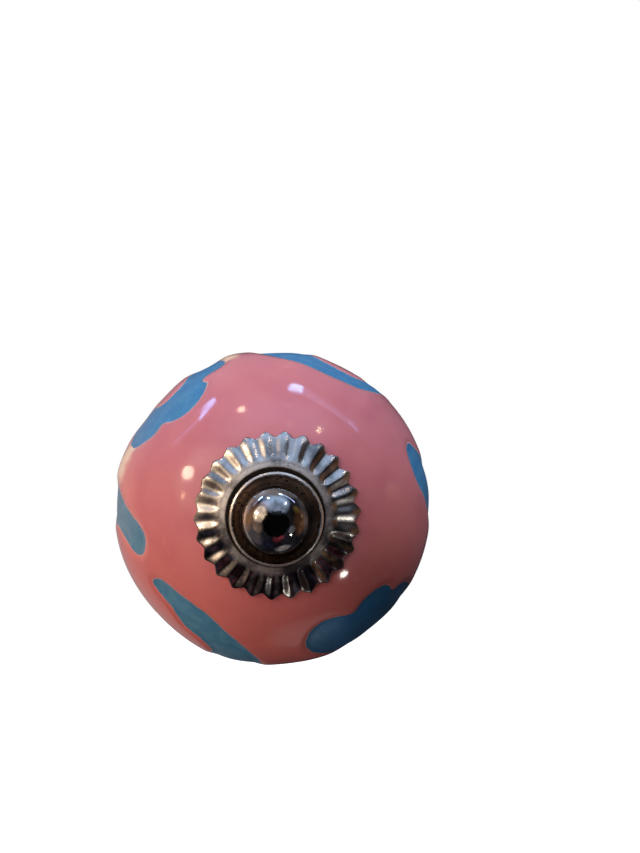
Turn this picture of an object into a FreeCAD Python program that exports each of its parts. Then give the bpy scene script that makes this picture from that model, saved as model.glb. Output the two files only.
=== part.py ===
import FreeCAD, Part
import math
import os

import Sketcher

# A ceramic cabinet knob: a glazed ball with carved leaves, a pleated metal rosette on its crown,
# a domed screw through its bore, and the back plate, washer and nut that fix it to a drawer front.
# The origin is the middle of the back plate's rear face, on the knob's axis. +Z is up, the knob
# stands out towards -Y, and the screw's stud runs back along +Y through the drawer front.

# Driving sizes, in millimetres and degrees
DRIVING_SIZES = {
    # the ceramic ball
    "ball_radius": 20.0,
    "crown_flat_radius": 3.6,
    "bore_radius": 2.6,
    "foot_radius": 9.6,
    "foot_height": 1.2,
    "foot_edge_radius": 0.4,
    "carve_depth": 0.45,
    # the pleated rosette
    "rosette_thickness": 0.4,
    "rosette_hub_radius": 5.7,
    "shoulder_width": 0.7,
    "shoulder_drop": 0.3,
    "pleat_length": 3.3,
    "pleat_notch": 0.75,
    "pleat_height": 0.55,
    "pleat_clearance": 0.1,
    "pleat_count": 26,
    "first_pleat_angle": 3.0,
    # the domed screw
    "shank_radius": 2.0,
    "stud_chamfer": 0.4,
    "stud_free_length": 4.5,
    "dome_radius": 3.85,
    "dome_step": 0.4,
    "dish_width": 1.1,
    "dish_floor": 0.6,
    "dish_curve_radius": 1.3,
    "rim_wall": 0.25,
    "rim_height": 1.3,
    "rim_flare": 0.6,
    # the back plate, the drawer front's thickness, the washer and the nut
    "hole_clearance": 0.2,
    "plate_thickness": 0.8,
    "plate_gap": 0.15,
    "plate_bend_radius": 0.3,
    "plate_lip_drop": 0.1,
    "panel_thickness": 18.0,
    "washer_radius": 4.5,
    "washer_thickness": 0.8,
    "nut_across_flats": 7.0,
    "nut_thickness": 3.2,
    "nut_chamfer": 0.35,
    "nut_face_inset": 0.1,
    "thread_clearance": 0.03,
}

# Sizes that follow from them. Heights run forwards along the knob's axis, each in its piece's own frame.
DERIVED_SIZES = {
    # the ball, from its foot
    "ball_centre": "foot_height + sqrt(ball_radius ^ 2 - foot_radius ^ 2)",
    "crown_rise": "sqrt(ball_radius ^ 2 - crown_flat_radius ^ 2)",
    "ball_height": "ball_centre + crown_rise",
    "foot_face_radius": "foot_radius - foot_edge_radius",
    # the rosette, from its hub's underside
    "pleat_start_radius": "rosette_hub_radius + shoulder_width",
    "rosette_radius": "pleat_start_radius + pleat_length",
    "valley_radius": "rosette_radius - pleat_notch",
    "valley_level": "sqrt(ball_radius ^ 2 - valley_radius ^ 2) + pleat_clearance - crown_rise",
    "ridge_level": "valley_level + pleat_height",
    "rosette_seat": "plate_thickness + ball_height",
    # the screw, from its free end
    "head_seat": "rosette_seat + rosette_thickness",
    "stud_back": "panel_thickness + washer_thickness + nut_thickness + stud_free_length",
    "shank_length": "stud_back + head_seat",
    "stud_tip_radius": "shank_radius - stud_chamfer",
    "rim_inner_radius": "dome_radius + dish_width",
    "rim_radius": "rim_inner_radius + rim_wall",
    "dish_foot_radius": "rim_radius - rim_flare",
    "rim_top": "shank_length + rim_height",
    "dish_level": "shank_length + dish_floor",
    "dome_level": "dish_level + dome_step",
    "dome_top": "dome_level + dome_radius",
    # the back plate, from its rear face
    "fixing_hole_radius": "shank_radius + hole_clearance",
    "plate_inner_radius": "foot_radius + plate_gap",
    "plate_outer_radius": "plate_inner_radius + plate_thickness",
    "plate_height": "plate_thickness + foot_height - plate_lip_drop",
    "plate_outer_bend": "plate_thickness + plate_bend_radius",
    "plate_outer_flat": "plate_outer_radius - plate_outer_bend",
    "plate_inner_flat": "plate_inner_radius - plate_bend_radius",
    # the washer and the nut
    "washer_seat": "-1 * (panel_thickness + washer_thickness)",
    "nut_seat": "washer_seat - nut_thickness",
    "nut_corner_radius": "nut_across_flats / 2 / cos(30 deg)",
    "nut_face_radius": "nut_across_flats / 2 - nut_face_inset",
    "nut_bore_radius": "shank_radius + thread_clearance",
    "nut_upper_chamfer": "nut_thickness - nut_chamfer",
    "stud_seat": "-1 * stud_back",
}

# Carved leaves. Each outline is a loop of places on the ball: the bearing round the knob's axis,
# counter-clockwise from the right as seen from the front, and the angle back from the crown,
# both in degrees. The carving is free-hand work, so no two leaves are alike.
LEAVES = {
    "right_leaf": [
        (22, 60.0), (14, 61.5), (6, 66), (-1, 71), (-7, 79), (-9, 89),
        (-3, 99), (6, 103), (14, 96), (20, 86), (24.5, 75), (27, 65),
    ],
    "top_leaf": [
        (68, 63), (58, 64.5), (50.5, 69), (47, 76), (46, 86), (49, 93),
        (54, 90), (54, 81), (58, 76.5), (66, 75.5), (74, 80), (77, 89),
        (81, 99), (89, 102), (96, 96), (97, 86), (94.5, 77), (88.5, 70), (79, 65),
    ],
    "upper_left_leaf": [
        (128, 53.5), (122, 56), (119, 62), (114, 67), (109.5, 73), (108.5, 82),
        (110, 91), (116, 95), (121, 89), (123.5, 80), (128, 73), (134, 72),
        (138, 78), (140, 87), (146, 92), (152, 86), (155, 77), (155.5, 69),
        (151, 62.5), (146.5, 60.5), (141, 60), (135, 55.5),
    ],
    "left_leaf": [
        (191.5, 51), (185.5, 53), (180, 60), (175.5, 67), (171.5, 75),
        (170, 84), (173, 92), (180, 93), (184.5, 86), (185.5, 77),
        (189.5, 68), (195.5, 62), (197.5, 55.5),
    ],
    "lower_left_leaf": [
        (230, 45.5), (219, 47.5), (210, 51.5), (209, 57), (216, 57.5), (225, 57),
        (233, 61), (240, 66), (245, 73), (246, 83), (250, 92), (257, 94),
        (262.5, 87), (264, 76), (262, 66), (256, 57), (246, 50),
    ],
    "lower_right_leaf": [
        (294, 43.5), (285.5, 48), (283, 56), (286, 65), (291, 75), (297, 85),
        (306, 91), (317, 92), (326, 86), (330.5, 76), (331, 65), (328.5, 54.5),
        (321, 47.5), (314, 47), (307, 49.5), (302, 46),
    ],
}

# A leaf's cutter runs from inside the carved floor to outside the ball, as shares of the ball's radius
CUTTER_START = 0.7
CUTTER_END = 1.05

TURNED_FORWARD = FreeCAD.Rotation(FreeCAD.Vector(1, 0, 0), 90)

doc = FreeCAD.newDocument("cabinet_knob")
sheet = doc.addObject("Spreadsheet::Sheet", "Sizes")


def fill_sheet():
    """Writes every size into the sheet: a driving size as a number, the others as formulas."""
    rows = list(DRIVING_SIZES.items()) + list(DERIVED_SIZES.items())
    for row, (name, _) in enumerate(rows, start=1):
        sheet.set(f"A{row}", name)
        sheet.setAlias(f"B{row}", name)
    doc.recompute()
    for row, (name, value) in enumerate(rows, start=1):
        sheet.set(f"B{row}", str(value) if name in DRIVING_SIZES else f"={value}")
    doc.recompute()


def size(name):
    return float(sheet.get(name)) if name else 0.0


def seat(piece, place):
    """Turns a piece's own +Z to the front of the knob and puts its zero at a place on the axis."""
    piece.Placement = FreeCAD.Placement(FreeCAD.Vector(0, 0, 0), TURNED_FORWARD)
    if place:
        piece.setExpression(".Placement.Base.y", f"-1 * Sizes.{place}")


def body_with_sketch(label, role):
    """A body of its own with one empty sketch on the origin plane that has this role."""
    body = doc.addObject("PartDesign::Body", label)
    sketch = body.newObject("Sketcher::SketchObject", f"{label}_sketch")
    plane = next(f for f in body.Origin.OriginFeatures if f.Role == role)
    sketch.AttachmentSupport = (plane, [""])
    sketch.MapMode = "FlatFace"
    return body, sketch


def bind(sketch, constraint, name):
    index = sketch.addConstraint(constraint)
    sketch.setExpression(f"Constraints[{index}]", f"Sizes.{name}")


def bulge_point(start, end, radius, side):
    """The middle of an arc from start to end: side is +1 where it bulges to the right of its way."""
    chord = end - start
    half = chord.Length / 2
    rise = radius - math.sqrt(max(radius ** 2 - half ** 2, 0))
    right = FreeCAD.Vector(chord.y, -chord.x, 0).normalize()
    return (start + end) / 2 + right * rise * side


def draw_profile(sketch, corners, arcs):
    """Draws a closed profile. A corner is a pair of cell names, for its distance from the axis and
    its height, with None for zero. An arc is given at its first corner as (radius name, side)."""
    places = [FreeCAD.Vector(size(out), size(up), 0) for out, up in corners]
    ends = []
    for i, start in enumerate(places):
        end = places[(i + 1) % len(places)]
        if i in arcs:
            radius, side = arcs[i]
            edge = sketch.addGeometry(Part.Arc(start, bulge_point(start, end, size(radius), side), end))
            forward = sketch.getPoint(edge, 1).distanceToPoint(start) < 1e-6
            ends.append((edge, 1, 2) if forward else (edge, 2, 1))
            bind(sketch, Sketcher.Constraint("Radius", edge, size(radius)), radius)
        else:
            edge = sketch.addGeometry(Part.LineSegment(start, end))
            ends.append((edge, 1, 2))
    for i, (out, up) in enumerate(corners):
        edge, first, last = ends[i]
        previous, before, after = ends[i - 1]
        sketch.addConstraint(Sketcher.Constraint("Coincident", previous, after, edge, first))
        for kind, name, axis in (("DistanceX", out, -2), ("DistanceY", up, -1)):
            if name:
                bind(sketch, Sketcher.Constraint(kind, -1, 1, edge, first, size(name)), name)
            else:
                sketch.addConstraint(Sketcher.Constraint("PointOnObject", edge, first, axis))


def turned(label, corners, arcs=None):
    """A body turned round its own Z axis from a closed profile."""
    body, sketch = body_with_sketch(label, "XZ_Plane")
    draw_profile(sketch, corners, arcs or {})
    turn = body.newObject("PartDesign::Revolution", f"{label}_turn")
    turn.Profile = sketch
    turn.ReferenceAxis = (sketch, ["V_Axis"])
    turn.Angle = 360
    sketch.Visibility = False
    body.Tip = turn
    doc.recompute()
    return body


def direction(bearing, tilt):
    """The way from the ball's centre to a place on it."""
    turn, lean = math.radians(bearing), math.radians(tilt)
    return FreeCAD.Vector(
        math.sin(lean) * math.cos(turn), math.sin(lean) * math.sin(turn), math.cos(lean)
    )


def leaf_cutter(outline):
    """What one leaf takes off the ball: a cone of rays through its outline, down to the carved floor."""
    rays = [direction(bearing, tilt) for bearing, tilt in outline]
    middle = FreeCAD.Vector()
    for ray in rays:
        middle += ray
    middle.normalize()
    loops = []
    for reach in (CUTTER_START, CUTTER_END):
        curve = Part.BSplineCurve()
        curve.interpolate(
            Points=[ray * (reach * size("ball_radius") / ray.dot(middle)) for ray in rays],
            PeriodicFlag=True,
        )
        loops.append(Part.Wire(curve.toShape()))
    cone = Part.makeLoft(loops, True, True)
    return cone.cut(Part.makeSphere(size("ball_radius") - size("carve_depth")))


def make_knob_body():
    """The ball with its foot, crown flat and bore, then the six leaves carved out of it."""
    blank = turned(
        "ball_blank",
        [
            ("bore_radius", None),
            ("foot_face_radius", None),
            ("foot_radius", "foot_edge_radius"),
            ("foot_radius", "foot_height"),
            ("crown_flat_radius", "ball_height"),
            ("bore_radius", "ball_height"),
        ],
        {1: ("foot_edge_radius", 1), 3: ("ball_radius", 1)},
    )
    cutters = doc.addObject("Part::Feature", "leaf_cutters")
    cutters.Shape = Part.makeCompound([leaf_cutter(outline) for outline in LEAVES.values()])
    cutters.setExpression(".Placement.Base.z", "Sizes.ball_centre")
    knob = doc.addObject("Part::Cut", "knob_body")
    knob.Base = blank
    knob.Tool = cutters
    seat(knob, "plate_thickness")
    return knob


def make_rosette():
    """A sheet washer with a flat hub, a shoulder that dips, and pleats folded as ridge and valley."""
    spokes = 2 * round(size("pleat_count"))
    ridge, valley = ("rosette_radius", "ridge_level"), ("valley_radius", "valley_level")
    rings = []
    for level in (0, size("rosette_thickness")):
        hub, shoulder, edge = [], [], []
        for i in range(spokes):
            turn = math.radians(size("first_pleat_angle")) + 2 * math.pi * i / spokes
            spoke = FreeCAD.Vector(math.cos(turn), math.sin(turn), 0)
            reach, drop = ridge if i % 2 == 0 else valley
            hub.append(spoke * size("rosette_hub_radius") + FreeCAD.Vector(0, 0, level))
            shoulder.append(
                spoke * size("pleat_start_radius") + FreeCAD.Vector(0, 0, level - size("shoulder_drop"))
            )
            edge.append(spoke * size(reach) + FreeCAD.Vector(0, 0, level + size(drop)))
        rings.append((hub, shoulder, edge))
    under, upper = rings
    outlines = [under[0], upper[0]]
    for i in range(spokes):
        j = (i + 1) % spokes
        for hub, shoulder, edge in rings:
            outlines.append([hub[i], hub[j], shoulder[j], shoulder[i]])
            outlines.append([shoulder[i], shoulder[j], edge[i]])
            outlines.append([shoulder[j], edge[j], edge[i]])
        outlines.append([under[2][i], under[2][j], upper[2][j], upper[2][i]])
    faces = [Part.Face(Part.makePolygon(outline + outline[:1])) for outline in outlines]
    folded = Part.makeSolid(Part.makeShell(faces))
    hole = Part.makeCylinder(size("fixing_hole_radius"), size("rosette_thickness"))
    rosette = doc.addObject("Part::Feature", "rosette")
    rosette.Shape = folded.cut(hole)
    seat(rosette, "rosette_seat")
    return rosette


def make_domed_screw():
    """The dished head with its dome, and the long stud behind it, turned as one piece."""
    screw = turned(
        "domed_screw",
        [
            (None, None),
            ("stud_tip_radius", None),
            ("shank_radius", "stud_chamfer"),
            ("shank_radius", "shank_length"),
            ("dish_foot_radius", "shank_length"),
            ("rim_radius", "rim_top"),
            ("rim_inner_radius", "rim_top"),
            ("dome_radius", "dish_level"),
            ("dome_radius", "dome_level"),
            (None, "dome_top"),
        ],
        {6: ("dish_curve_radius", -1), 8: ("dome_radius", 1)},
    )
    seat(screw, "stud_seat")
    return screw


def make_back_plate():
    """The pressed cup between the ball's foot and the drawer front."""
    plate = turned(
        "back_plate",
        [
            ("fixing_hole_radius", None),
            ("plate_outer_flat", None),
            ("plate_outer_radius", "plate_outer_bend"),
            ("plate_outer_radius", "plate_height"),
            ("plate_inner_radius", "plate_height"),
            ("plate_inner_radius", "plate_outer_bend"),
            ("plate_inner_flat", "plate_thickness"),
            ("fixing_hole_radius", "plate_thickness"),
        ],
        {1: ("plate_outer_bend", 1), 5: ("plate_bend_radius", -1)},
    )
    seat(plate, None)
    return plate


def make_washer():
    """The flat washer against the drawer front's inner face."""
    body, sketch = body_with_sketch("washer", "XY_Plane")
    centre, up = FreeCAD.Vector(0, 0, 0), FreeCAD.Vector(0, 0, 1)
    for name in ("washer_radius", "fixing_hole_radius"):
        ring = sketch.addGeometry(Part.Circle(centre, up, size(name)))
        sketch.addConstraint(Sketcher.Constraint("Coincident", ring, 3, -1, 1))
        bind(sketch, Sketcher.Constraint("Radius", ring, size(name)), name)
    pad = body.newObject("PartDesign::Pad", "washer_pad")
    pad.Profile = sketch
    pad.setExpression("Length", "Sizes.washer_thickness")
    sketch.Visibility = False
    body.Tip = pad
    seat(body, "washer_seat")
    return body


def make_hex_nut():
    """The hexagon nut: a hexagonal bar cut to length, bored, its corners turned off at both faces."""
    bar = doc.addObject("Part::Prism", "nut_bar")
    bar.Polygon = 6
    bar.setExpression("Circumradius", "Sizes.nut_corner_radius")
    bar.setExpression("Height", "Sizes.nut_thickness")
    turning = turned(
        "nut_turning",
        [
            ("nut_bore_radius", None),
            ("nut_face_radius", None),
            ("nut_corner_radius", "nut_chamfer"),
            ("nut_corner_radius", "nut_upper_chamfer"),
            ("nut_face_radius", "nut_thickness"),
            ("nut_bore_radius", "nut_thickness"),
        ],
    )
    nut = doc.addObject("Part::Common", "hex_nut")
    nut.Base = bar
    nut.Tool = turning
    seat(nut, "nut_seat")
    return nut


fill_sheet()
pieces = [
    make_knob_body(),
    make_rosette(),
    make_domed_screw(),
    make_back_plate(),
    make_washer(),
    make_hex_nut(),
]
doc.recompute()

for thing in doc.Objects:
    if "Invalid" in thing.State or "Error" in thing.State:
        raise RuntimeError(f"{thing.Label} did not build: {thing.State}")
for piece in pieces:
    if piece.Shape.isNull() or not piece.Shape.isValid() or len(piece.Shape.Solids) != 1:
        raise RuntimeError(f"{piece.Label} is not one good solid")

os.makedirs("parts", exist_ok=True)
for piece in pieces:
    piece.Shape.exportStep(f"parts/{piece.Label}.step")
    box = piece.Shape.BoundBox
    print(
        f"{piece.Label}: {piece.Shape.Volume:.1f} mm3, y {box.YMin:.2f} to {box.YMax:.2f},"
        f" x {box.XMin:.2f} to {box.XMax:.2f}, z {box.ZMin:.2f} to {box.ZMax:.2f}"
    )
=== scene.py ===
import math

import bmesh
import bpy
import numpy as np
from mathutils import Matrix, Vector


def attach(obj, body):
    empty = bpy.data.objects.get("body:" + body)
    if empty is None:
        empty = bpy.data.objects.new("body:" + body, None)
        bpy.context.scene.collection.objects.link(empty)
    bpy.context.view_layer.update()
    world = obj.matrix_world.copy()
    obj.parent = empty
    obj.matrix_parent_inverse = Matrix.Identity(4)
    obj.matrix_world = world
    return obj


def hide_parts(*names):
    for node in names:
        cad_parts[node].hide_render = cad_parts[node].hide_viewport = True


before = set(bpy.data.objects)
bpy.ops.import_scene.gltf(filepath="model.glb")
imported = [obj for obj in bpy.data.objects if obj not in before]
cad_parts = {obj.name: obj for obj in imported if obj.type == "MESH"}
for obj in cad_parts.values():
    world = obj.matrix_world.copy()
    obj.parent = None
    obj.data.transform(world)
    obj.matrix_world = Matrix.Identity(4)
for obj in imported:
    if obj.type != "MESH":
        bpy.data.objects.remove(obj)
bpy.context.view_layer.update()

# A ceramic cabinet knob seen from the front. Sizes are in millimetres until a mesh is made. "Forward" is
# the distance in front of the drawer front. A bearing runs counter-clockwise from the right, as seen from
# there.
BALL_CENTRE = 19.545
BALL_RADIUS = 20.0
CROWN_RADIUS = 3.6
BORE_RADIUS = 2.6
FOOT_RADIUS = 9.6
FOOT_FACE = 0.8
CROWN = 39.218
PARED = 0.17
CARVE_DEPTH = 0.31
CARVE_WALL_OUTSIDE = 1.0
CARVE_WALL_INSIDE = 1.0
# The leaves lie in a belt between these angles back from the crown, in degrees
BELT_START = 42
BELT_END = 108
# What stands for "outside every leaf" where a place is too far from them to be measured
FAR_OUTSIDE = -9.0

# The rosette's hub, shoulder and 26 pleats
HUB_RADIUS = 5.45
PLEAT_START = 6.2
POINT_REACH = 9.47
NOTCH_REACH = 8.79
RIDGE_DROP = 1.25
VALLEY_DROP = 1.6
SHOULDER_DROP = 0.3
SHEET = 0.4
PLEATS = 26
FIRST_POINT = math.radians(3)
HOLE_RADIUS = 2.2
ROSETTE_SLIP = (0.12, 0, 0.08)
# How far off centre its shoulder was pressed, where its ridges start to bend down and how far they fall by
# that, and how far its cut edge is rolled down
PRESSED_ASKEW = (0.22, 0.08)
NOSE_START = 8
NOSE_DROP = 0.38
EDGE_ROLL = 0.17

# The domed screw and its fixings behind the knob
HEAD_SEAT = CROWN + SHEET
DOME_RADIUS = 3.85
RIM_RADIUS = 5.2
HEAD_SLIP = (-0.03, 0, -0.16)
DOME_SLIP = (-0.11, 0, -0.12)
SHANK_RADIUS = 2.0
STUD_END = -26.5
THREAD_PITCH = 0.7
THREAD_DEPTH = 0.3
THREAD_START = -0.6
WASHER_FRONT = -18.0
WASHER_BACK = -18.8
NUT_BACK = -22.0
NUT_ACROSS_FLATS = 7.0

# Carved leaves, each a loop of places on the ball: bearing, and angle back from the crown, in degrees
LEAVES = [
    [
        (26.2, 64.3), (23, 61.6), (17.7, 60.9), (12, 61.5), (6.1, 65.3), (0, 71.5), (-5, 79), (-8, 89),
        (-3, 99), (6, 103), (13, 96), (17.5, 85), (22.5, 74.5), (26.2, 68),
    ],
    [
        (68, 63), (58, 64.5), (50.5, 69), (47, 76), (46, 86), (49, 93),
        (54, 90), (54, 81), (58, 76.5), (66, 75.5), (74, 80), (77, 89),
        (81, 99), (89, 102), (96, 96), (97, 86), (94.5, 77), (88.5, 70), (79, 65),
    ],
    [
        (135, 53.2), (129, 52.4), (123.5, 54), (119.5, 57.5), (117.6, 61.5), (118.3, 65.3),
        (115, 67.9), (110.5, 69.4), (108.2, 72), (109, 79), (111, 89), (116, 94), (120.5, 89),
        (123, 82), (125.5, 76), (128.5, 73.5), (132.5, 73.2), (136.3, 74.5), (138.5, 79),
        (141, 87), (146, 92), (152, 86), (155.5, 77), (156, 69.5), (153, 64), (149, 60.2),
        (145.5, 59), (142, 59.2), (139.3, 56.3),
    ],
    [
        (191.5, 51), (185.5, 53), (180, 60), (175.5, 67), (171.5, 75),
        (170, 84), (173, 92), (180, 93), (184.5, 86), (185.5, 77),
        (189.5, 68), (195.5, 62), (197.5, 55.5),
    ],
    [
        (236, 44.8), (227, 45.2), (218.3, 47.1), (212.5, 49.4), (208.8, 53.2), (209.8, 56.9),
        (214, 57.4), (220, 56.8), (226, 58.4), (231, 60.8), (236, 62), (240.5, 63.8),
        (244.5, 67), (246.5, 74), (247, 83), (250, 92), (257, 94), (263, 87), (265.5, 76),
        (264, 66), (259.8, 58.2), (254, 52.4), (245.5, 47.8),
    ],
    [
        (294, 43.5), (285.5, 48), (283, 56), (286, 65), (291, 75), (297, 85),
        (306, 91), (317, 92), (326, 86), (331, 76), (331.5, 68), (329.5, 62), (326.8, 59.3),
        (327.4, 54.5), (324.5, 49.5), (319, 47.4), (314, 47.3), (309, 48.6), (302, 45.5),
    ],
]

# Where the pink glaze ran thin in the kiln and the cream clay shows: bearing, angle back, reach in degrees
THIN_GLAZE = [
    (158, 73, 8), (164, 78, 11), (170, 81, 8), (107, 84, 8), (107, 77, 6), (32, 84, 8), (268, 84, 7),
]

# Where the ball stands out between the hollows that were pared by hand: bearing and half width in degrees,
# and how far in mm, or how much lower it lies where that is below zero
RIBS = [
    (32, 16, 0.18), (105, 5, 0.2), (165, 7, 0.18), (253, 8, 0.16), (351, 16, 0.14),
    (8, 10, 0.34), (49, 5, 0.32), (79, 8, 0.27), (136, 9, -0.28), (222, 20, -0.25), (276, 10, -0.14),
    (301, 6, 0.1), (320, 8, 0.16),
]


def smooth_step(x):
    """0 below 0, 1 above 1, and 3x^2 - 2x^3 between."""
    x = np.clip(x, 0, 1)
    return x * x * (3 - 2 * x)


def bell(bearing, middle, half_width):
    """A bell curve of the bearing round a middle, both in degrees: exp(-(turn / half width)^2)."""
    turn = (np.degrees(bearing) - middle + 180) % 360 - 180
    return np.exp(-((turn / half_width) ** 2))


def around(radius, forward, bearing):
    """Places in metres, from a radius, a distance forward and a bearing: (r cos b, -f, r sin b)."""
    radius, forward, bearing = np.broadcast_arrays(radius, forward, bearing)
    return np.stack([radius * np.cos(bearing), -forward, radius * np.sin(bearing)], axis=-1) / 1000


def rounded_profile(corners, steps=6):
    """A profile of (radius, forward, cut) corners. Each corner P is replaced by the parabola between the
    points A and B, its cut away along both sides: (1-t)^2 A + 2t(1-t) P + t^2 B, with one more point on
    either side of it."""
    corners = np.array(corners, float)
    places, cuts = corners[:, :2], corners[:, 2:]
    ways = []
    for neighbour in (1, -1):
        way = np.roll(places, neighbour, axis=0) - places
        ways.append(way / np.maximum(np.linalg.norm(way, axis=1, keepdims=True), 1e-9))
    before, after = (places + cuts * way for way in ways)
    t = np.linspace(0, 1, steps)[None, :, None]
    curve = (1 - t) ** 2 * before[:, None] + 2 * t * (1 - t) * places[:, None] + t ** 2 * after[:, None]
    lead_in = (places + 1.3 * cuts * ways[0])[:, None]
    lead_out = (places + 1.3 * cuts * ways[1])[:, None]
    return np.concatenate([lead_in, curve, lead_out], axis=1).reshape(-1, 2)


def skin(name, points, stands_for, marks=None, loop=True):
    """A closed mesh on a grid of points: each cell between two rows and two columns is a face. Columns go
    round the axis, and rows close too where loop is set. It stands for a node, which it hides; the material
    slot named with that node is not used. Marks are values that the grid's points carry."""
    rows, columns = points.shape[:2]
    row = np.arange(rows if loop else rows - 1)[:, None]
    column = np.arange(columns)[None, :]
    next_row, next_column = (row + 1) % rows, (column + 1) % columns
    cells = np.stack(
        [
            row * columns + column,
            row * columns + next_column,
            next_row * columns + next_column,
            next_row * columns + column,
        ],
        axis=-1,
    ).reshape(-1, 4)
    mesh = bpy.data.meshes.new(name)
    mesh.from_pydata(points.reshape(-1, 3), [], cells)
    for mark, values in (marks or {}).items():
        layer = mesh.attributes.new(mark, "FLOAT", "POINT")
        layer.data.foreach_set("value", np.broadcast_to(values, (rows, columns)).astype(np.float32).ravel())
    work = bmesh.new()
    work.from_mesh(mesh)
    bmesh.ops.remove_doubles(work, verts=work.verts, dist=1e-7)
    bmesh.ops.recalc_face_normals(work, faces=work.faces)
    work.to_mesh(mesh)
    work.free()
    mesh.shade_smooth()
    piece = bpy.data.objects.new(name, mesh)
    bpy.context.scene.collection.objects.link(piece)
    node, slot = stands_for
    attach(piece, "root")
    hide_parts(node)
    return piece


def turned(name, profile, columns, stands_for):
    """A ring turned round the axis from a closed profile of (radius, forward) points."""
    bearing = np.linspace(0, 2 * np.pi, columns, endpoint=False)[None, :]
    return skin(name, around(profile[:, :1], profile[:, 1:], bearing), stands_for)


def closed_spline(knots, steps=14):
    """A smooth closed curve through the knots: a cubic on each span, as long in its parameter as the chord,
    whose second derivatives M solve h0 M0 + 2 (h0 + h1) M1 + h1 M2 = 6 (slope1 - slope0) round the loop."""
    ahead = np.roll(knots, -1, axis=0)
    span = np.linalg.norm(ahead - knots, axis=1)
    slope = (ahead - knots) / span[:, None]
    count = len(knots)
    before = np.roll(span, 1)
    matrix = np.diag(2 * (span + before))
    index = np.arange(count)
    matrix[index, index - 1] += before
    matrix[index, (index + 1) % count] += span
    bend = np.linalg.solve(matrix, 6 * (slope - np.roll(slope, 1, axis=0)))
    t = np.linspace(0, 1, steps, endpoint=False)[None, :, None]
    length = span[:, None, None]
    here, there = bend[:, None], np.roll(bend, -1, axis=0)[:, None]
    straight = (1 - t) * knots[:, None] + t * ahead[:, None]
    curved = ((1 - t) ** 3 - (1 - t)) * here + (t ** 3 - t) * there
    return (straight + length ** 2 / 6 * curved).reshape(-1, 2)


def rays(bearing, tilt):
    """Unit vectors at a bearing and an angle back from the crown, in radians: right, up, forward."""
    return np.stack([np.sin(tilt) * np.cos(bearing), np.sin(tilt) * np.sin(bearing), np.cos(tilt)], axis=-1)


def leaf_depth_inside(ways):
    """How far each way from the ball's centre lies inside the nearest leaf's outline, in mm on the ball,
    and below zero outside all of them. Each outline is flattened along rays on the plane across its
    middle, where gaps at a distance d from the middle are about (1 + d^2) ^ 3/4 wider than on the ball."""
    inside = np.full(len(ways), FAR_OUTSIDE)
    for leaf in LEAVES:
        corners = rays(*np.radians(np.array(leaf, float)).T)
        middle = corners.sum(axis=0)
        middle /= np.linalg.norm(middle)
        right = np.cross(middle, [0.0, 0.0, 1.0])
        right /= np.linalg.norm(right)
        plane = np.stack([right, np.cross(right, middle)], axis=1)
        outline = closed_spline((corners @ plane) / (corners @ middle)[:, None])
        # no leaf reaches 44 degrees from its middle, and 0.72 is the cosine of that
        near = np.flatnonzero(ways @ middle > 0.72)
        flat = (ways[near] @ plane) / (ways[near] @ middle)[:, None]
        ahead = np.roll(outline, -1, axis=0)
        edge = ahead - outline
        offset = flat[:, None] - outline[None]
        along = np.clip((offset * edge).sum(-1) / (edge ** 2).sum(-1), 0, 1)
        gap = np.linalg.norm(offset - along[..., None] * edge, axis=-1).min(axis=1)
        # a place is within the outline where a line to its right crosses it an odd number of times
        low, high = outline[None, :, 1] > flat[:, None, 1], ahead[None, :, 1] > flat[:, None, 1]
        rise = np.where(edge[:, 1] == 0, 1e-12, edge[:, 1])
        crossing = outline[None, :, 0] + (flat[:, None, 1] - outline[None, :, 1]) / rise * edge[None, :, 0]
        within = (((low != high) & (crossing > flat[:, None, 0])).sum(axis=1) % 2) == 1
        squeeze = 1 + (flat ** 2).sum(axis=1)
        distance = np.where(within, 1, -1) * gap * BALL_RADIUS / squeeze ** 0.75
        inside[near] = np.maximum(inside[near], distance)
    return inside


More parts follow.
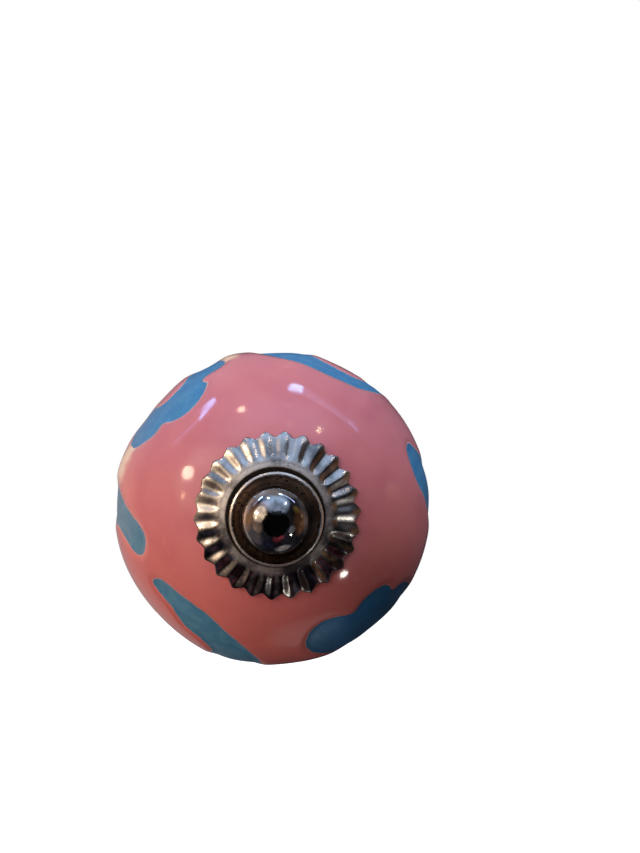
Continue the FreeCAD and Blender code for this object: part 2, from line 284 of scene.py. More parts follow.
def make_ball():
    """The glazed ball. Its distance from the centre is 20 mm, less what was pared and a low hand-made wave,
    plus each rib's bell curve of the bearing, less the carving: its depth times a smooth step of the
    distance inside a leaf. The foot, bore and crown close it."""
    bearing = np.linspace(0, 2 * np.pi, 600, endpoint=False)[None, :]
    last, first = math.asin(FOOT_RADIUS / BALL_RADIUS), math.asin(CROWN_RADIUS / BALL_RADIUS)
    tilt = np.radians(
        np.concatenate(
            [
                np.linspace(180 - math.degrees(last), BELT_END, 16, endpoint=False),
                np.linspace(BELT_END, BELT_START, 118, endpoint=False),
                np.linspace(BELT_START, math.degrees(first), 18),
            ]
        )
    )[:, None]
    tilt_grid, bearing_grid = np.broadcast_arrays(tilt, bearing)
    ways = rays(bearing_grid, tilt_grid).reshape(-1, 3)
    inside = leaf_depth_inside(ways).reshape(tilt_grid.shape)
    free = smooth_step((tilt - math.radians(32)) / 0.3) * smooth_step((math.radians(136) - tilt) / 0.3)
    wave = 0.02 * (
        np.sin(3 * bearing_grid + 2 * tilt_grid + 0.6) + np.sin(5 * bearing_grid - 3 * tilt_grid + 2.1) - 2
    )
    belt = smooth_step((np.degrees(tilt) - BELT_START) / 34) * smooth_step((132 - np.degrees(tilt)) / 30)
    pared = -PARED * free
    for place, half_width, stands_out in RIBS:
        pared = pared + stands_out * belt * bell(bearing_grid, place, half_width)
    hollow = smooth_step((inside + CARVE_WALL_OUTSIDE) / (CARVE_WALL_OUTSIDE + CARVE_WALL_INSIDE))
    reach = np.minimum(BALL_RADIUS, BALL_RADIUS + wave * free + pared - CARVE_DEPTH * hollow)
    ball_radius, ball_forward = reach * np.sin(tilt_grid), BALL_CENTRE + reach * np.cos(tilt_grid)
    foot = rounded_profile(
        [
            (BORE_RADIUS, FOOT_FACE, 0.15),
            (FOOT_RADIUS, FOOT_FACE, 0.35),
            (FOOT_RADIUS, FOOT_FACE + 1.1, 0.05),
        ]
    )
    # the last corner only guides the foot's wall, so the points past it are left out
    foot = foot[:-4]
    crown = np.array([(BORE_RADIUS + 0.12, CROWN), (BORE_RADIUS, CROWN - 0.12)])
    before, after = (np.repeat(line[:, None, :], bearing.size, axis=1) for line in (foot, crown))
    radius = np.concatenate([before[..., 0], ball_radius, after[..., 0]])
    forward = np.concatenate([before[..., 1], ball_forward, after[..., 1]])
    plain_before, plain_after = (np.full(part.shape[:2], FAR_OUTSIDE) for part in (before, after))
    thin = np.zeros(tilt_grid.shape)
    for place, back, reach_of_it in THIN_GLAZE:
        middle = rays(math.radians(place), math.radians(back))
        apart = np.degrees(np.arccos(np.clip(ways @ middle, -1, 1))).reshape(tilt_grid.shape)
        thin = np.maximum(thin, np.exp(-((apart / reach_of_it) ** 2) * 1.6))
    # the foot's face and edge are unglazed
    bare = np.zeros(radius.shape)
    bare[: len(foot) + 2] = 1
    return skin(
        "glazed_ball",
        around(radius, forward, bearing),
        ("knob_body", "glaze"),
        {
            "leaf": np.concatenate([plain_before, inside, plain_after]),
            "thin_glaze": np.concatenate([plain_before * 0, thin, plain_after * 0]),
            "bare_clay": bare,
        },
    )


def zigzag(bearing, round_off):
    """0 at each of the 26 points and 1 halfway between them, straight between and rounded at both: the
    distance |u| to the nearest point, with each end of it bent as sqrt(u^2 + e^2) - e."""
    u = 1 - np.abs((bearing - FIRST_POINT) / (2 * np.pi) * PLEATS % 1 - 0.5) * 2
    near_point = np.sqrt(u ** 2 + round_off ** 2) - round_off
    near_notch = 1 - (np.sqrt((1 - u) ** 2 + round_off ** 2) - round_off)
    share = smooth_step(u)
    return (1 - share) * near_point + share * near_notch


def make_rosette():
    """The pleated sheet. Its cut edge swings between points and notches, less so on the left. Its face
    falls over the shoulder and then along the ridges, and lies lower in the valleys by the fold's depth, a
    smooth step and then an even slope, shallower on the left, on the right and at the top. The shoulder was
    pressed a little to the lower left, so it is measured by the distance from there. Near their ends the
    ridges bend down as a parabola, and the edge is rolled down by a quarter circle. The pleats were pressed
    askew too: they trail the points most at the lower left."""
    bearing = np.linspace(0, 2 * np.pi, 32 * PLEATS, endpoint=False)[None, :]
    tooth = zigzag(bearing + np.radians(1.5) * bell(bearing, 105, 62), 0.2)
    round_off = 0.24 + 0.4 * bell(bearing, 106, 38)
    wave = zigzag(bearing + np.radians(3.7) * (1 - np.cos(bearing - math.radians(55))), round_off)
    middle, swing = (POINT_REACH + NOTCH_REACH) / 2, (POINT_REACH - NOTCH_REACH) / 2
    edge = middle + swing * (1 - 0.5 * bell(bearing, 165, 50)) * (1 - 2 * tooth)
    hub = np.array([HOLE_RADIUS, HOLE_RADIUS + 0.05, 4.0, 4.9, 5.15])
    hub = hub[:, None] + 0 * wave
    shoulder = np.linspace(5.25, PLEAT_START, 11)[:, None] + 0 * wave
    stretches = (np.linspace(0.02, 0.3, 9), np.linspace(0.36, 0.9, 8), np.linspace(0.92, 1, 9))
    share = np.concatenate(stretches)[:, None]
    pleats = PLEAT_START + share * (edge - PLEAT_START)
    radius = np.concatenate([hub, shoulder, pleats])
    inner = radius + PRESSED_ASKEW[0] * np.cos(bearing) + PRESSED_ASKEW[1] * np.sin(bearing)
    shallow = 0.4 * bell(bearing, 160, 75) + 0.45 * bell(bearing, 0, 26) + 0.42 * bell(bearing, 78, 32)
    slope = (RIDGE_DROP - SHOULDER_DROP) / (POINT_REACH - PLEAT_START)
    fold = VALLEY_DROP - SHOULDER_DROP - slope * (NOTCH_REACH - PLEAT_START)
    past = np.clip(inner - PLEAT_START - 0.05, 0, None) / (NOTCH_REACH - PLEAT_START)
    fall = SHOULDER_DROP * smooth_step((inner - HUB_RADIUS) / (PLEAT_START - HUB_RADIUS + 0.1))
    fall = fall + (slope * (NOTCH_REACH - PLEAT_START) + shallow * fold) * past
    nose = np.clip((radius - NOSE_START) / (POINT_REACH - NOSE_START), 0, 1)
    fall = fall + NOSE_DROP * (1 - wave) * nose ** 2
    run = np.clip(inner - PLEAT_START + 0.2 - 0.45 * (1 - wave) ** 2 - 0.5 * shallow, 0, None)
    depth = 0.55 * smooth_step(run / 0.8) + 0.45 * np.clip(run / (NOTCH_REACH - PLEAT_START), 0, 1)
    depth = (1 - shallow) * fold * depth
    under = CROWN - fall - depth * wave
    rolled = np.concatenate([0 * hub[:, :1], 0 * shoulder[:, :1], np.clip((share - 0.93) / 0.07, 0, 1)])
    upper = under + SHEET - EDGE_ROLL * (1 - np.sqrt(1 - rolled ** 2))
    radii = np.concatenate([radius, radius[::-1]])
    heights = np.concatenate([upper, under[::-1]])
    hollow = np.concatenate([smooth_step((5.64 - inner) / 0.2), 0 * radius])
    grain = np.concatenate([0.03 + 0.97 * smooth_step((6.7 - inner) / 0.7), 0 * radius])
    # the whole sheet is marked for the painted shade on its lower half
    # it hangs on the screw a little right of the middle
    return skin(
        "pleated_rosette",
        around(radii, heights, bearing) + np.array(ROSETTE_SLIP) / 1000,
        ("rosette", "bright_nickel"),
        {"hollow": hollow, "grain": grain, "painted_dark_below": 1},
    )


def make_domed_screw():
    """The screw, turned from its stud's end to the top of its dome. On the threaded rows the radius dips by
    the thread's depth times a triangle wave of (distance / pitch - bearing / one turn), so it winds."""
    bearing = np.linspace(0, 2 * np.pi, 96, endpoint=False)[None, :]
    tip = np.array([(0, STUD_END), (1.3, STUD_END), (1.52, STUD_END), (1.6, STUD_END + 0.03)])
    threaded = np.arange(STUD_END + 0.12, THREAD_START, THREAD_PITCH / 8)
    lead = np.minimum(SHANK_RADIUS, 1.6 + (threaded - STUD_END))
    seat = HEAD_SEAT
    lip_top = seat + 1.28
    head = rounded_profile(
        [
            (SHANK_RADIUS, THREAD_START + 0.5, 0.05),
            (SHANK_RADIUS, seat, 0.05),
            (4.5, seat, 0.1),
            (4.82, seat + 0.55, 0.3),
            (RIM_RADIUS, seat + 1.08, 0.07),
            (RIM_RADIUS - 0.24, lip_top, 0.1),
            (RIM_RADIUS - 0.36, lip_top, 0.05),
            (4.46, seat + 0.74, 0.34),
            (DOME_RADIUS + 0.06, seat + 0.58, 0.03),
            (DOME_RADIUS, seat + 0.7, 0.02),
        ]
    )
    # the profile is open, so the halves of its end corners that turn towards each other are left out
    head = head[4:-4]
    climb = np.linspace(0, np.pi / 2, 40)
    dome = np.stack([DOME_RADIUS * np.cos(climb), seat + 1.0 + DOME_RADIUS * np.sin(climb)], axis=1)
    radius = np.concatenate([tip[:, 0], lead, head[:, 0], dome[:, 0]])[:, None]
    forward = np.concatenate([tip[:, 1], threaded, head[:, 1], dome[:, 1]])[:, None]
    phase = (forward / THREAD_PITCH - bearing / (2 * np.pi)) % 1
    crest = np.clip(np.abs(phase - 0.5) * 2 * 1.25 - 0.125, 0, 1)
    fade = smooth_step((THREAD_START - forward) / 0.9) * (forward > STUD_END + 0.05)
    radius = radius - THREAD_DEPTH * crest * fade * np.minimum(1, np.maximum(0, radius - 1.3) / 0.5)
    hollow = smooth_step((4.82 - radius) / 0.1) * smooth_step((radius - 3.78) / 0.1) * (forward > seat)
    polish = smooth_step((forward - seat - 0.75) / 0.3) * smooth_step((3.84 - radius) / 0.1)
    # the top of the rim, which is painted pale as a highlight
    lip = smooth_step((radius - 4.84) / 0.06) * smooth_step((forward - seat - 0.95) / 0.1)
    # the head sits a little low on the knob, and the dome lower and further left in its dish
    slip = np.array(HEAD_SLIP) * smooth_step((forward - seat + 0.5) / 0.4)[..., None]
    on_dome = smooth_step((4.9 - radius) / 0.9) * (forward > seat + 0.4)
    slip = slip + np.array(DOME_SLIP) * on_dome[..., None]
    # above its seat the head is marked for the painted shade on its lower half
    return skin(
        "domed_screw_head",
        around(radius, forward, bearing) + slip / 1000,
        ("domed_screw", "bright_nickel"),
        {"hollow": hollow, "polish": polish, "lip": lip, "painted_dark_below": 1.0 * (forward > seat)},
        loop=False,
    )


def make_back_plate():
    """The pressed cup behind the ball, turned from a profile whose corners are rounded."""
    profile = rounded_profile(
        [
            (2.2, 0, 0.06), (10.55, 0, 1.0), (10.55, 1.9, 0.3), (9.75, 1.9, 0.3),
            (9.75, 0.8, 0.28), (2.2, 0.8, 0.06),
        ],
        steps=8,
    )
    return turned("pressed_back_plate", profile, 160, ("back_plate", "bright_nickel"))


def make_washer():
    """The flat washer, turned from a profile. Its front edge is sharp and its back edge rolled over."""
    profile = rounded_profile(
        [
            (2.2, WASHER_FRONT, 0.08),
            (4.5, WASHER_FRONT, 0.04),
            (4.5, WASHER_BACK, 0.22),
            (2.2, WASHER_BACK, 0.12),
        ]
    )
    return turned("flat_washer", profile, 128, ("washer", "zinc_plate"))


def make_hex_nut():
    """The nut. A row's radius is the smaller of the hexagon's, half the width over cos(bearing from the
    flat's middle), and its own, which is a cone near both faces where the corners are turned off."""
    flat = np.linspace(-30, 30, 17)[:-1]
    bearing = np.radians((flat[None, :] + 60 * np.arange(6)[:, None]).ravel())[None, :]
    from_flat = (bearing + math.radians(30)) % math.radians(60) - math.radians(30)
    hexagon = NUT_ACROSS_FLATS / 2 / np.cos(from_flat)
    back, front = NUT_BACK, WASHER_BACK
    rise = np.array([0, 0.03, 0.08, 0.14, 0.2, 0.26, 0.32, 0.37, 0.45])
    cone = 3.38 + rise * 1.75
    rows = [(2.03, back + 0.2), (2.2, back + 0.01), (2.3, back), (3.2, back)]
    rows += list(zip(cone, back + rise)) + list(zip(cone[::-1], front - rise[::-1]))
    rows += [(3.2, front), (2.3, front), (2.2, front - 0.01), (2.03, front - 0.2)]
    rows = np.array(rows)
    radius = np.minimum(rows[:, :1], hexagon)
    return skin("turned_hex_nut", around(radius, rows[:, 1:], bearing), ("hex_nut", "zinc_plate"))


def linear(colour):
    """An sRGB hex colour as the linear one that the nodes want."""
    channels = [int(colour[i : i + 2], 16) / 255 for i in (1, 3, 5)]
    return (*[c / 12.92 if c <= 0.04045 else ((c + 0.055) / 1.055) ** 2.4 for c in channels], 1.0)


def add(tree, kind, inputs=None, **settings):
    """Adds a node with its settings. An input is a value, or another node's output to link to it."""
    node = tree.nodes.new(f"ShaderNode{kind}")
    for name, value in settings.items():
        setattr(node, name, value)
    for name, value in (inputs or {}).items():
        if isinstance(value, bpy.types.NodeSocket):
            tree.links.new(value, node.inputs[name])
        else:
            node.inputs[name].default_value = value
    return node


def new_finish(name, **sockets):
    """A material with its shader, whose even values are set on the shader's own sockets."""
    finish = bpy.data.materials.new(name)
    finish.use_nodes = True
    tree = finish.node_tree
    tree.nodes.clear()
    shader = add(tree, "BsdfPrincipled", sockets)
    add(tree, "OutputMaterial", {"Surface": shader.outputs["BSDF"]})
    place = add(tree, "TexCoord").outputs["Object"]
    return finish, tree, shader, place


def fog(tree, place, size_mm, detail=3.0, roughness=0.55, stretch=None):
    """Noise whose blotches are size_mm across, stretched where stretch gives a scale for each axis."""
    if stretch:
        place = add(tree, "Mapping", {"Vector": place, "Scale": stretch}).outputs["Vector"]
    inputs = {"Vector": place, "Scale": 1000 / size_mm, "Detail": detail, "Roughness": roughness}
    return add(tree, "TexNoise", inputs).outputs["Fac"]


def span(tree, value, low, high, to_low=0.0, to_high=1.0):
    """The value's stretch from low to high laid over to_low to to_high, with smooth ends."""
    return add(
        tree,
        "MapRange",
        {"Value": value, "From Min": low, "From Max": high, "To Min": to_low, "To Max": to_high},
        interpolation_type="SMOOTHSTEP",
    ).outputs["Result"]


def blend_colours(tree, share, first, second):
    """Colour first where share is 0 and second where it is 1."""
    return add(tree, "Mix", {0: share, 6: first, 7: second}, data_type="RGBA").outputs[2]


def sum_of(tree, first, second, operation="ADD"):
    return add(tree, "Math", {0: first, 1: second}, operation=operation).outputs[0]


def product(tree, first, second):
    return sum_of(tree, first, second, "MULTIPLY")


def mark_on(tree, name):
    """A value that a mesh's points carry, and 0 where they carry none of that name."""
    return add(tree, "Attribute", attribute_name=name).outputs["Fac"]


def bumped(tree, height, distance, strength, beneath=None):
    """The surface's way where a height of 1 stands out by this distance in metres, on top of any bumps
    beneath it."""
    inputs = {"Height": height, "Distance": distance, "Strength": strength}
    if beneath is not None:
        inputs["Normal"] = beneath
    return add(tree, "Bump", inputs).outputs["Normal"]


def glazed_earthenware():
    """Glossy pink glaze over cream clay: a wet-looking skin with a faint ripple, soft clouds in its colour,
    blue brushed into the carved leaves and a pale line where the glaze broke thin on their edges."""
    finish, tree, shader, place = new_finish("glazed_earthenware", **{"IOR": 1.5})
    leaf, thin, bare = (mark_on(tree, name) for name in ("leaf", "thin_glaze", "bare_clay"))
    axes = add(tree, "SeparateXYZ", {"Vector": place})
    across, height = axes.outputs["X"], axes.outputs["Z"]
    # pink glaze: clouds 7 mm across, mauve towards the top and coral below, painted light, cool above and
    # warm below
    clouds = span(tree, fog(tree, place, 7), 0.35, 0.68)
    coral = blend_colours(tree, clouds, linear("#c6695f"), linear("#bf625a"))
    mauve = blend_colours(tree, clouds, linear("#c67b84"), linear("#bf7480"))
    painted_light_slant = sum_of(tree, height, product(tree, across, 0.1))
    pink = blend_colours(tree, span(tree, painted_light_slant, -0.016, 0.014), coral, mauve)
    # blue brushed on: streaks 1.6 mm wide with lighter specks, greener below, and darker at the lower right
    # as painted shade
    streaks = span(tree, fog(tree, place, 1.6, 5, 0.65), 0.38, 0.7)
    blue = blend_colours(tree, streaks, linear("#2f7aae"), linear("#4389b6"))
    green = blend_colours(tree, streaks, linear("#41738d"), linear("#538297"))
    uphill = sum_of(tree, height, product(tree, across, 0.8))
    blue = blend_colours(tree, span(tree, uphill, -0.016, -0.003), green, blue)
    painted_shade_lower_right = sum_of(tree, across, height, "SUBTRACT")
    blue = blend_colours(tree, span(tree, painted_shade_lower_right, 0.012, 0.026, 0, 0.85), blue, linear("#1d5682"))
    # the painted edge wanders a tenth of a millimetre either way
    wander = span(tree, fog(tree, place, 1.3, 2), 0.2, 0.8, -0.1, 0.1)
    edge = sum_of(tree, leaf, wander)
    painted = span(tree, edge, -0.02, 0.1)
    colour = blend_colours(tree, painted, pink, blue)
    # the pale line on the edge, clearer towards the top
    line = product(tree, span(tree, edge, -0.2, -0.02), span(tree, edge, 0.0, 0.12, 1, 0))
    line = product(tree, line, span(tree, height, -0.01, 0.006, 0.12, 0.5))
    colour = blend_colours(tree, line, colour, linear("#e9c4ae"))
    # clay showing through the thin glaze, never in the blue
    patchy = span(tree, sum_of(tree, thin, fog(tree, place, 3)), 0.62, 1.35, 0, 0.95)
    patchy = product(tree, patchy, span(tree, edge, -0.1, 0.05, 1, 0))
    colour = blend_colours(tree, patchy, colour, linear("#f3d6bb"))
    colour = blend_colours(tree, bare, colour, linear("#e6d9c4"))
    tree.links.new(colour, shader.inputs["Base Color"])
    # wet gloss with faint smears, duller on the brushed blue and matt on bare clay
    smear = span(tree, fog(tree, place, 2.5, 4), 0.3, 0.8, 0.07, 0.13)
    rough = sum_of(tree, sum_of(tree, smear, product(tree, painted, 0.2)), product(tree, bare, 0.5))
    tree.links.new(rough, shader.inputs["Roughness"])
    # a fired glaze ripples over a few millimetres, and the brush left its marks in the blue
    ripple = bumped(tree, fog(tree, place, 2.2, 2, 0.4), 0.00005, 0.3)
    brushed = product(tree, fog(tree, place, 0.5, 3), painted)
    tree.links.new(bumped(tree, brushed, 0.0001, 0.35, ripple), shader.inputs["Normal"])
    return finish


def nickel_plate():
    """Bright nickel on pressed and turned steel: a warm mirror, brown where polish never reaches the
    hollows, grainy on the rosette's shoulder and specked with dirt."""
    finish, tree, shader, place = new_finish("bright_nickel_plate")
    hollow, grain, polish, lip, painted_dark_below = (
        mark_on(tree, name) for name in ("hollow", "grain", "polish", "lip", "painted_dark_below")
    )
    cloud = span(tree, fog(tree, place, 2.5, 4), 0.35, 0.7)
    bright = blend_colours(tree, cloud, linear("#d5cec6"), linear("#c0b9b2"))
    brown = blend_colours(tree, cloud, linear("#96785f"), linear("#6d5a4c"))
    # painted shade: the front's lower half is darker, standing in for the dark room that it mirrors below
    height = add(tree, "SeparateXYZ", {"Vector": place}).outputs["Z"]
    painted_lower_shade = sum_of(tree, span(tree, height, -0.007, 0.003, 0.75, 0), cloud)
    painted_lower_shade = product(tree, span(tree, painted_lower_shade, 0.3, 1.5), painted_dark_below)
    bright = blend_colours(tree, painted_lower_shade, bright, linear("#4b484b"))
    colour = blend_colours(tree, product(tree, hollow, 0.85), bright, brown)
    # grime packed round the screw head, where both marks meet, with painted shade of the gap under the
    # head's rim
    grime_and_painted_shade = product(tree, product(tree, hollow, grain), 0.95)
    colour = blend_colours(tree, grime_and_painted_shade, colour, linear("#1e1613"))
    # dirt specks a fifth of a millimetre across in the hollows
    specks = span(tree, fog(tree, place, 0.45, 2, 0.7), 0.6, 0.68)
    colour = blend_colours(tree, product(tree, specks, hollow), colour, linear("#171210"))
    # dust on the shoulder, in grains a sixth of a millimetre across
    dust = span(tree, fog(tree, place, 0.3, 2, 0.7), 0.54, 0.68, 0, 0.5)
    colour = blend_colours(tree, product(tree, dust, grain), colour, linear("#51463c"))
    # painted highlight: the top of the screw's rim is painted pale
    colour = blend_colours(tree, product(tree, lip, 0.5), colour, linear("#eee2d0"))
    tree.links.new(colour, shader.inputs["Base Color"])
    # a film of polish residue lies on the grainy shoulder and the lip
    film = sum_of(tree, product(tree, grain, -0.2), product(tree, lip, -0.22))
    tree.links.new(sum_of(tree, film, 1.0), shader.inputs["Metallic"])
    # a soft gleam overall, nearly matt on the shoulder and in the hollows, a clear mirror on the dome
    rough = span(tree, fog(tree, place, 1.2, 4), 0.3, 0.75, 0.23, 0.31)
    for mark, change in ((grain, 0.3), (hollow, 0.2), (polish, -0.2)):
        rough = sum_of(tree, rough, product(tree, mark, change))
    tree.links.new(rough, shader.inputs["Roughness"])
    # the stamped grain, and the press's shallow dents over all of it
    pitted = bumped(tree, product(tree, fog(tree, place, 0.3, 3), grain), 0.00008, 0.5)
    dents = bumped(tree, fog(tree, place, 1.6, 2), 0.00004, 0.15, pitted)
    tree.links.new(dents, shader.inputs["Normal"])
    return finish


def zinc_plate():
    """Zinc plate on machined steel: blue-white, dull, with fine tool marks across it."""
    finish, tree, shader, place = new_finish("zinc_plate_on_steel", Metallic=1.0)
    cloud = span(tree, fog(tree, place, 1.8, 4), 0.3, 0.7)
    colour = blend_colours(tree, cloud, linear("#c9cccf"), linear("#aeb2b6"))
    tree.links.new(colour, shader.inputs["Base Color"])
    tree.links.new(span(tree, fog(tree, place, 0.8, 3), 0.2, 0.8, 0.24, 0.4), shader.inputs["Roughness"])
    # tool marks less than a tenth of a millimetre apart along the axis
    marks = bumped(tree, fog(tree, place, 0.4, 2, 0.5, (1, 6, 1)), 0.00003, 0.5)
    tree.links.new(marks, shader.inputs["Normal"])
    return finish


def opal_acrylic():
    """Opal acrylic lit from below, as on a product table: white, matt and nearly without shadows."""
    finish, tree, shader, place = new_finish(
        "opal_acrylic", **{"Roughness": 0.7, "Emission Color": (1, 1, 1, 1), "Emission Strength": 1.0}
    )
    tone = span(tree, fog(tree, place, 40), 0.3, 0.7)
    colour = blend_colours(tree, tone, linear("#f6f6f5"), linear("#f3f3f2"))
    tree.links.new(colour, shader.inputs["Base Color"])
    return finish


# The camera: 150 mm from the ball's centre, a little left of the knob's axis and a little above it
CAMERA_DISTANCE = 150.0
CAMERA_AZIMUTH = -1.2
CAMERA_ELEVATION = 3.2
FOCAL_PIXELS = 1176.0
LONG_SIDE_PIXELS = 853
BALL_RIGHT_OF_CENTRE = 272.4 - 320
BALL_ABOVE_CENTRE = 426.5 - 507.1

centre = Vector((0, -BALL_CENTRE, 0)) / 1000
azimuth, elevation = math.radians(CAMERA_AZIMUTH), math.radians(CAMERA_ELEVATION)
to_viewer = Vector(
    (math.sin(azimuth) * math.cos(elevation), -math.cos(azimuth) * math.cos(elevation), math.sin(elevation))
)
view_right = Vector((0, 0, 1)).cross(to_viewer).normalized()
view_up = to_viewer.cross(view_right)


def make_camera():
    lens = bpy.data.cameras.new("camera")
    lens.lens = FOCAL_PIXELS / LONG_SIDE_PIXELS * lens.sensor_width
    lens.clip_start = 0.005
    camera = bpy.data.objects.new("camera", lens)
    bpy.context.scene.collection.objects.link(camera)
    camera.location = centre + to_viewer * CAMERA_DISTANCE / 1000
    # the picture's middle lies right of the ball and above it, so that is where the camera looks
    off_middle = math.hypot(BALL_RIGHT_OF_CENTRE, BALL_ABOVE_CENTRE) / FOCAL_PIXELS
    depth = CAMERA_DISTANCE / 1000 * math.cos(math.atan(off_middle))
    aim = centre - (
        view_right * BALL_RIGHT_OF_CENTRE + view_up * BALL_ABOVE_CENTRE
    ) * (depth / FOCAL_PIXELS)
    camera.rotation_euler = (aim - camera.location).to_track_quat("-Z", "Y").to_euler()
    bpy.context.scene.camera = camera


def room_way(off_axis, image_angle):
    """A way into the room, from its angle off the line to the camera and its angle in the picture."""
    off, turn = math.radians(off_axis), math.radians(image_angle)
    sideways = view_right * math.cos(turn) + view_up * math.sin(turn)
    return to_viewer * math.cos(off) + sideways * math.sin(off)


def behind_highlight(bearing, tilt, far):
    """Where a lamp is whose highlight sits at this bearing and angle back on the ball: the line of sight d
    turned off the surface with normal n, d - 2 (d.n) n, and followed for this distance."""
    right, up, forward = rays(math.radians(bearing), math.radians(tilt))
    normal = Vector((right, -forward, up))
    spot = centre + normal * BALL_RADIUS / 1000
    sight = (spot - centre - to_viewer * CAMERA_DISTANCE / 1000).normalized()
    return spot + (sight - 2 * sight.dot(normal) * normal) * far


def make_lamp(name, middle, along, across, tall, colour, brightness, in_gloss=True):
    """A flat lamp that faces the ball, its width lying along a way. A surface of area A gives brightness L
    at 4 A L watts."""
    light = bpy.data.lights.new(name, "AREA")
    light.shape = "RECTANGLE" if across > 2 * tall else "ELLIPSE"
    light.size, light.size_y = across, tall
    light.energy = 4 * across * tall * brightness
    light.color = linear(colour)[:3]
    lamp = bpy.data.objects.new(name, light)
    bpy.context.scene.collection.objects.link(lamp)
    away = (middle - centre).normalized()
    along = (along - away * along.dot(away)).normalized()
    turn = Matrix((along, away.cross(along), away)).transposed().to_4x4()
    lamp.matrix_world = Matrix.Translation(middle) @ turn
    lamp.visible_camera = False
    lamp.visible_glossy = in_gloss


def make_highlight(name, spots, far, across, tall, colour, brightness):
    """A lamp placed by the highlight that it makes: one spot for a round lamp, whose width points away from
    the knob's axis, or two spots for a strip between them."""
    ends = [behind_highlight(*spot, far) for spot in spots]
    middle = sum(ends, Vector()) / len(ends)
    outward = rays(*(math.radians(angle) for angle in spots[0]))
    along = ends[-1] - ends[0] if len(ends) > 1 else Vector((outward[0], 0, outward[1]))
    make_lamp(name, middle, along, across or along.length, tall, colour, brightness)


# Soft patches of light in the room. Each has an angle off the line to the camera and an angle in the
# picture, 90 being up and 180 left. It is full inside the third angle and nothing outside the fourth.
ROOM_LIGHTS = (
    # cool from above
    (54, 84, 18, 41, "#a2bade", 1.0),
    (74, 108, 8, 26, "#8fbcf5", 0.5),
    (73, 70, 8, 24, "#8fbcf5", 0.5),
    # pale and then warm round the left
    (63, 132, 9, 24, "#cfc6d0", 0.6),
    (57, 158, 13, 28, "#ffe8cc", 1.4),
    (64, 196, 8, 24, "#d8b6a0", 0.45),
    (105, 165, 15, 40, "#e0a878", 0.35),
    (128, 176, 6, 20, "#e09a58", 0.35),
    # grey from behind the knob
    (145, 188, 14, 40, "#ecdcdc", 0.45),
    (118, 136, 12, 34, "#ccd0ec", 0.3),
    (132, 14, 12, 38, "#a9a8b8", 0.15),
    (120, 90, 18, 44, "#a9a6ae", 0.55),
    # olive, brown and amber on the right, with a grey one below them
    (81, 27, 5, 13, "#8a7a22", 0.45),
    (90, -4, 10, 36, "#a06c3c", 0.4),
    (98, 8, 2, 6, "#ffd9a8", 0.5),
    (64, -29, 7, 14, "#a5aebc", 0.5),
    # dark red, grey and dark blue below
    (60, -70, 3, 10, "#9c3a42", 0.6),
    (65, -86, 5, 15, "#8c2833", 0.6),
    (109, -75, 6, 18, "#c9c4c4", 0.5),
    (88, -112, 6, 24, "#1c2c58", 0.3),
    (95, 215, 10, 34, "#8f8488", 0.25),
)

# The room is dark in front of the knob: the middle of the shade as a way like those above, the angles
# inside which it is full and outside which there is none, and the share of the light left in it
SHADE_MIDDLE = (12, -78)
SHADE_FULL = 42
SHADE_NONE = 47
LEFT_IN_SHADE = 0.1

# Soft lamps that show only in what they light: name, way as above, size in metres, colour and brightness
LAMP_DISTANCE = 0.45
SOFT_LAMPS = (
    ("soft_front", 28, 150, 0.2, "#fff6f6", 2.9),
    ("soft_right", 81, 57, 0.2, "#fff8fa", 7.4),
    ("soft_low", 70, 223, 0.2, "#fff2ee", 4.6),
    ("small_side", 62, 148, 0.07, "#fff2e8", 14.0),
)

# Highlights on the glaze: name, bearing and angle back of each end, how far off their lamp is, its width
# (None for as long as the strip) and height in metres, colour and brightness
HIGHLIGHTS = (
    ("left_glow", [(154.2, 34.3)], 0.5, 0.115, 0.07, "#ffe6c8", 12),
    ("left_small", [(167.6, 32.6)], 0.5, 0.03, 0.035, "#ffc890", 7),
    ("upper_left_small", [(108, 41.4)], 0.5, 0.05, 0.042, "#ffe0b8", 11),
    ("upper_right_small", [(62.7, 32.7)], 0.5, 0.024, 0.024, "#ffe0b8", 19),
    ("upper_right_second", [(62.9, 34.5)], 0.5, 0.022, 0.022, "#ffe0b8", 12),
    ("low_right_small", [(319.2, 30.7)], 0.5, 0.046, 0.034, "#fffdf4", 20),
    ("right_window", [(83.5, 48.2), (76.5, 47.6)], 0.6, None, 0.034, "#98caff", 16),
    ("right_strip", [(78, 47.6), (50, 45.6)], 0.6, None, 0.042, "#a9c4ff", 1.3),
    ("right_strip_end", [(51, 45.8), (45, 45.4)], 0.6, None, 0.014, "#a9b8ff", 5),
    ("left_window", [(118.5, 49.4), (129, 47.4)], 0.6, None, 0.026, "#8cb8ff", 13),
    ("left_strip", [(129, 47.4), (145, 47.8)], 0.6, None, 0.012, "#a4b4ff", 3),
)


def cosine_to(tree, way, middle):
    """The cosine of the angle between the way looked in and a fixed one."""
    inputs = {0: way, 1: tuple(middle.normalized())}
    return add(tree, "VectorMath", inputs, operation="DOT_PRODUCT").outputs["Value"]


def scaled(tree, colour, share):
    return add(tree, "VectorMath", {0: colour, "Scale": share}, operation="SCALE").outputs[0]


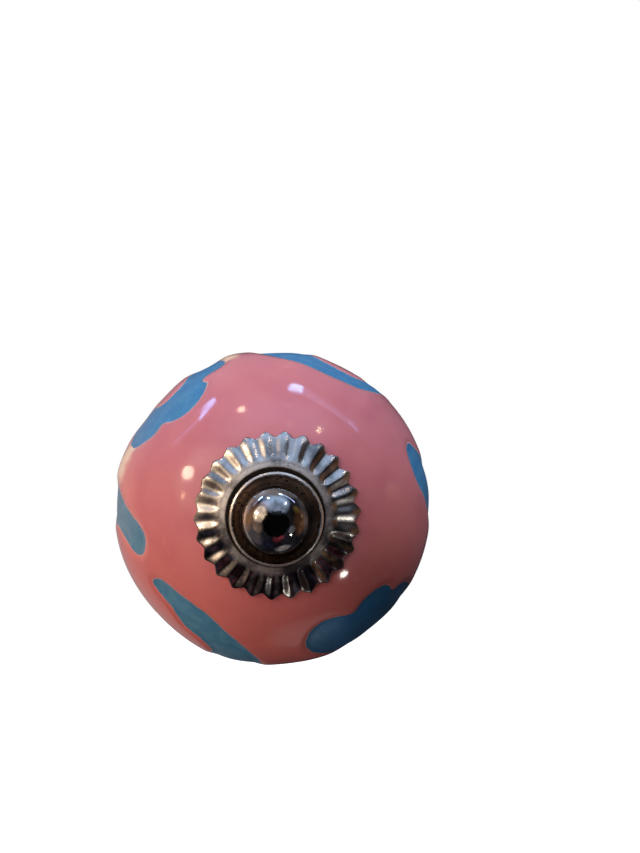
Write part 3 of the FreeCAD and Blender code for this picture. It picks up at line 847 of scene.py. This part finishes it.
def make_room():
    """The room's soft light: a dim base and a few broad soft patches, each a smooth step of the angle from
    its middle. The camera sees plain white behind the knob."""
    world = bpy.data.worlds.new("soft_room")
    bpy.context.scene.world = world
    world.use_nodes = True
    tree = world.node_tree
    tree.nodes.clear()
    way = add(tree, "TexCoord").outputs["Generated"]
    total = add(tree, "RGB").outputs[0]
    total.default_value = linear("#25252c")
    for off_axis, image_angle, full, nothing, colour, brightness in ROOM_LIGHTS:
        facing = cosine_to(tree, way, room_way(off_axis, image_angle))
        share = span(tree, facing, math.cos(math.radians(nothing)), math.cos(math.radians(full)))
        patch = scaled(tree, scaled(tree, linear(colour)[:3], brightness), share)
        total = add(tree, "VectorMath", {0: total, 1: patch}, operation="ADD").outputs[0]
    # the shade has a ragged edge
    ragged = span(tree, fog(tree, way, 110, 4), 0.3, 0.7, -0.05, 0.05)
    facing = sum_of(tree, cosine_to(tree, way, room_way(*SHADE_MIDDLE)), ragged)
    none, full = math.cos(math.radians(SHADE_NONE)), math.cos(math.radians(SHADE_FULL))
    total = scaled(tree, total, span(tree, facing, none, full, 1, LEFT_IN_SHADE))
    seen = add(tree, "LightPath").outputs["Is Camera Ray"]
    room = add(tree, "Background", {"Color": total, "Strength": 1.0}).outputs[0]
    white = add(tree, "Background", {"Color": (1, 1, 1, 1), "Strength": 1.0}).outputs[0]
    either = add(tree, "MixShader", {0: seen, 1: room, 2: white}).outputs[0]
    add(tree, "OutputWorld", {"Surface": either})


# The table top, in metres
FLOOR_HEIGHT = -0.45
FLOOR_REACH = 3


def make_floor(finish):
    """The wide flat table top below the knob: two parameters, across and along, in metres."""
    reach = np.linspace(-FLOOR_REACH, FLOOR_REACH, 13)
    across, along = np.meshgrid(reach, reach)
    points = np.stack([across, along, np.full_like(across, FLOOR_HEIGHT)], axis=-1)
    rows = len(reach)
    corner = (np.arange(rows - 1)[:, None] * rows + np.arange(rows - 1)).ravel()
    faces = np.stack([corner, corner + 1, corner + rows + 1, corner + rows], axis=-1)
    mesh = bpy.data.meshes.new("table_top")
    mesh.from_pydata(points.reshape(-1, 3), [], faces)
    floor = bpy.data.objects.new("table_top", mesh)
    bpy.context.scene.collection.objects.link(floor)
    floor.data.materials.append(finish)
    floor.visible_glossy = False
    floor.visible_diffuse = False


clay, nickel, zinc = glazed_earthenware(), nickel_plate(), zinc_plate()
DRESSED = (
    ("knob_body", make_ball, clay),
    ("rosette", make_rosette, nickel),
    ("domed_screw", make_domed_screw, nickel),
    ("back_plate", make_back_plate, nickel),
    ("washer", make_washer, zinc),
    ("hex_nut", make_hex_nut, zinc),
)
for node, make_piece, finish in DRESSED:
    make_piece().data.materials.append(finish)
# a node that a dressed piece stands for keeps a finish of the same kind
for node, make_piece, finish in DRESSED:
    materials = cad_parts[node].data.materials
    materials.clear()
    materials.append(finish)

make_camera()
make_room()
make_floor(opal_acrylic())
for name, off_axis, image_angle, size, colour, brightness in SOFT_LAMPS:
    middle = centre + room_way(off_axis, image_angle) * LAMP_DISTANCE
    make_lamp(name, middle, view_right, size, size, colour, brightness, in_gloss=False)
for row in HIGHLIGHTS:
    make_highlight(*row)

bpy.context.scene.view_settings.view_transform = "Standard"
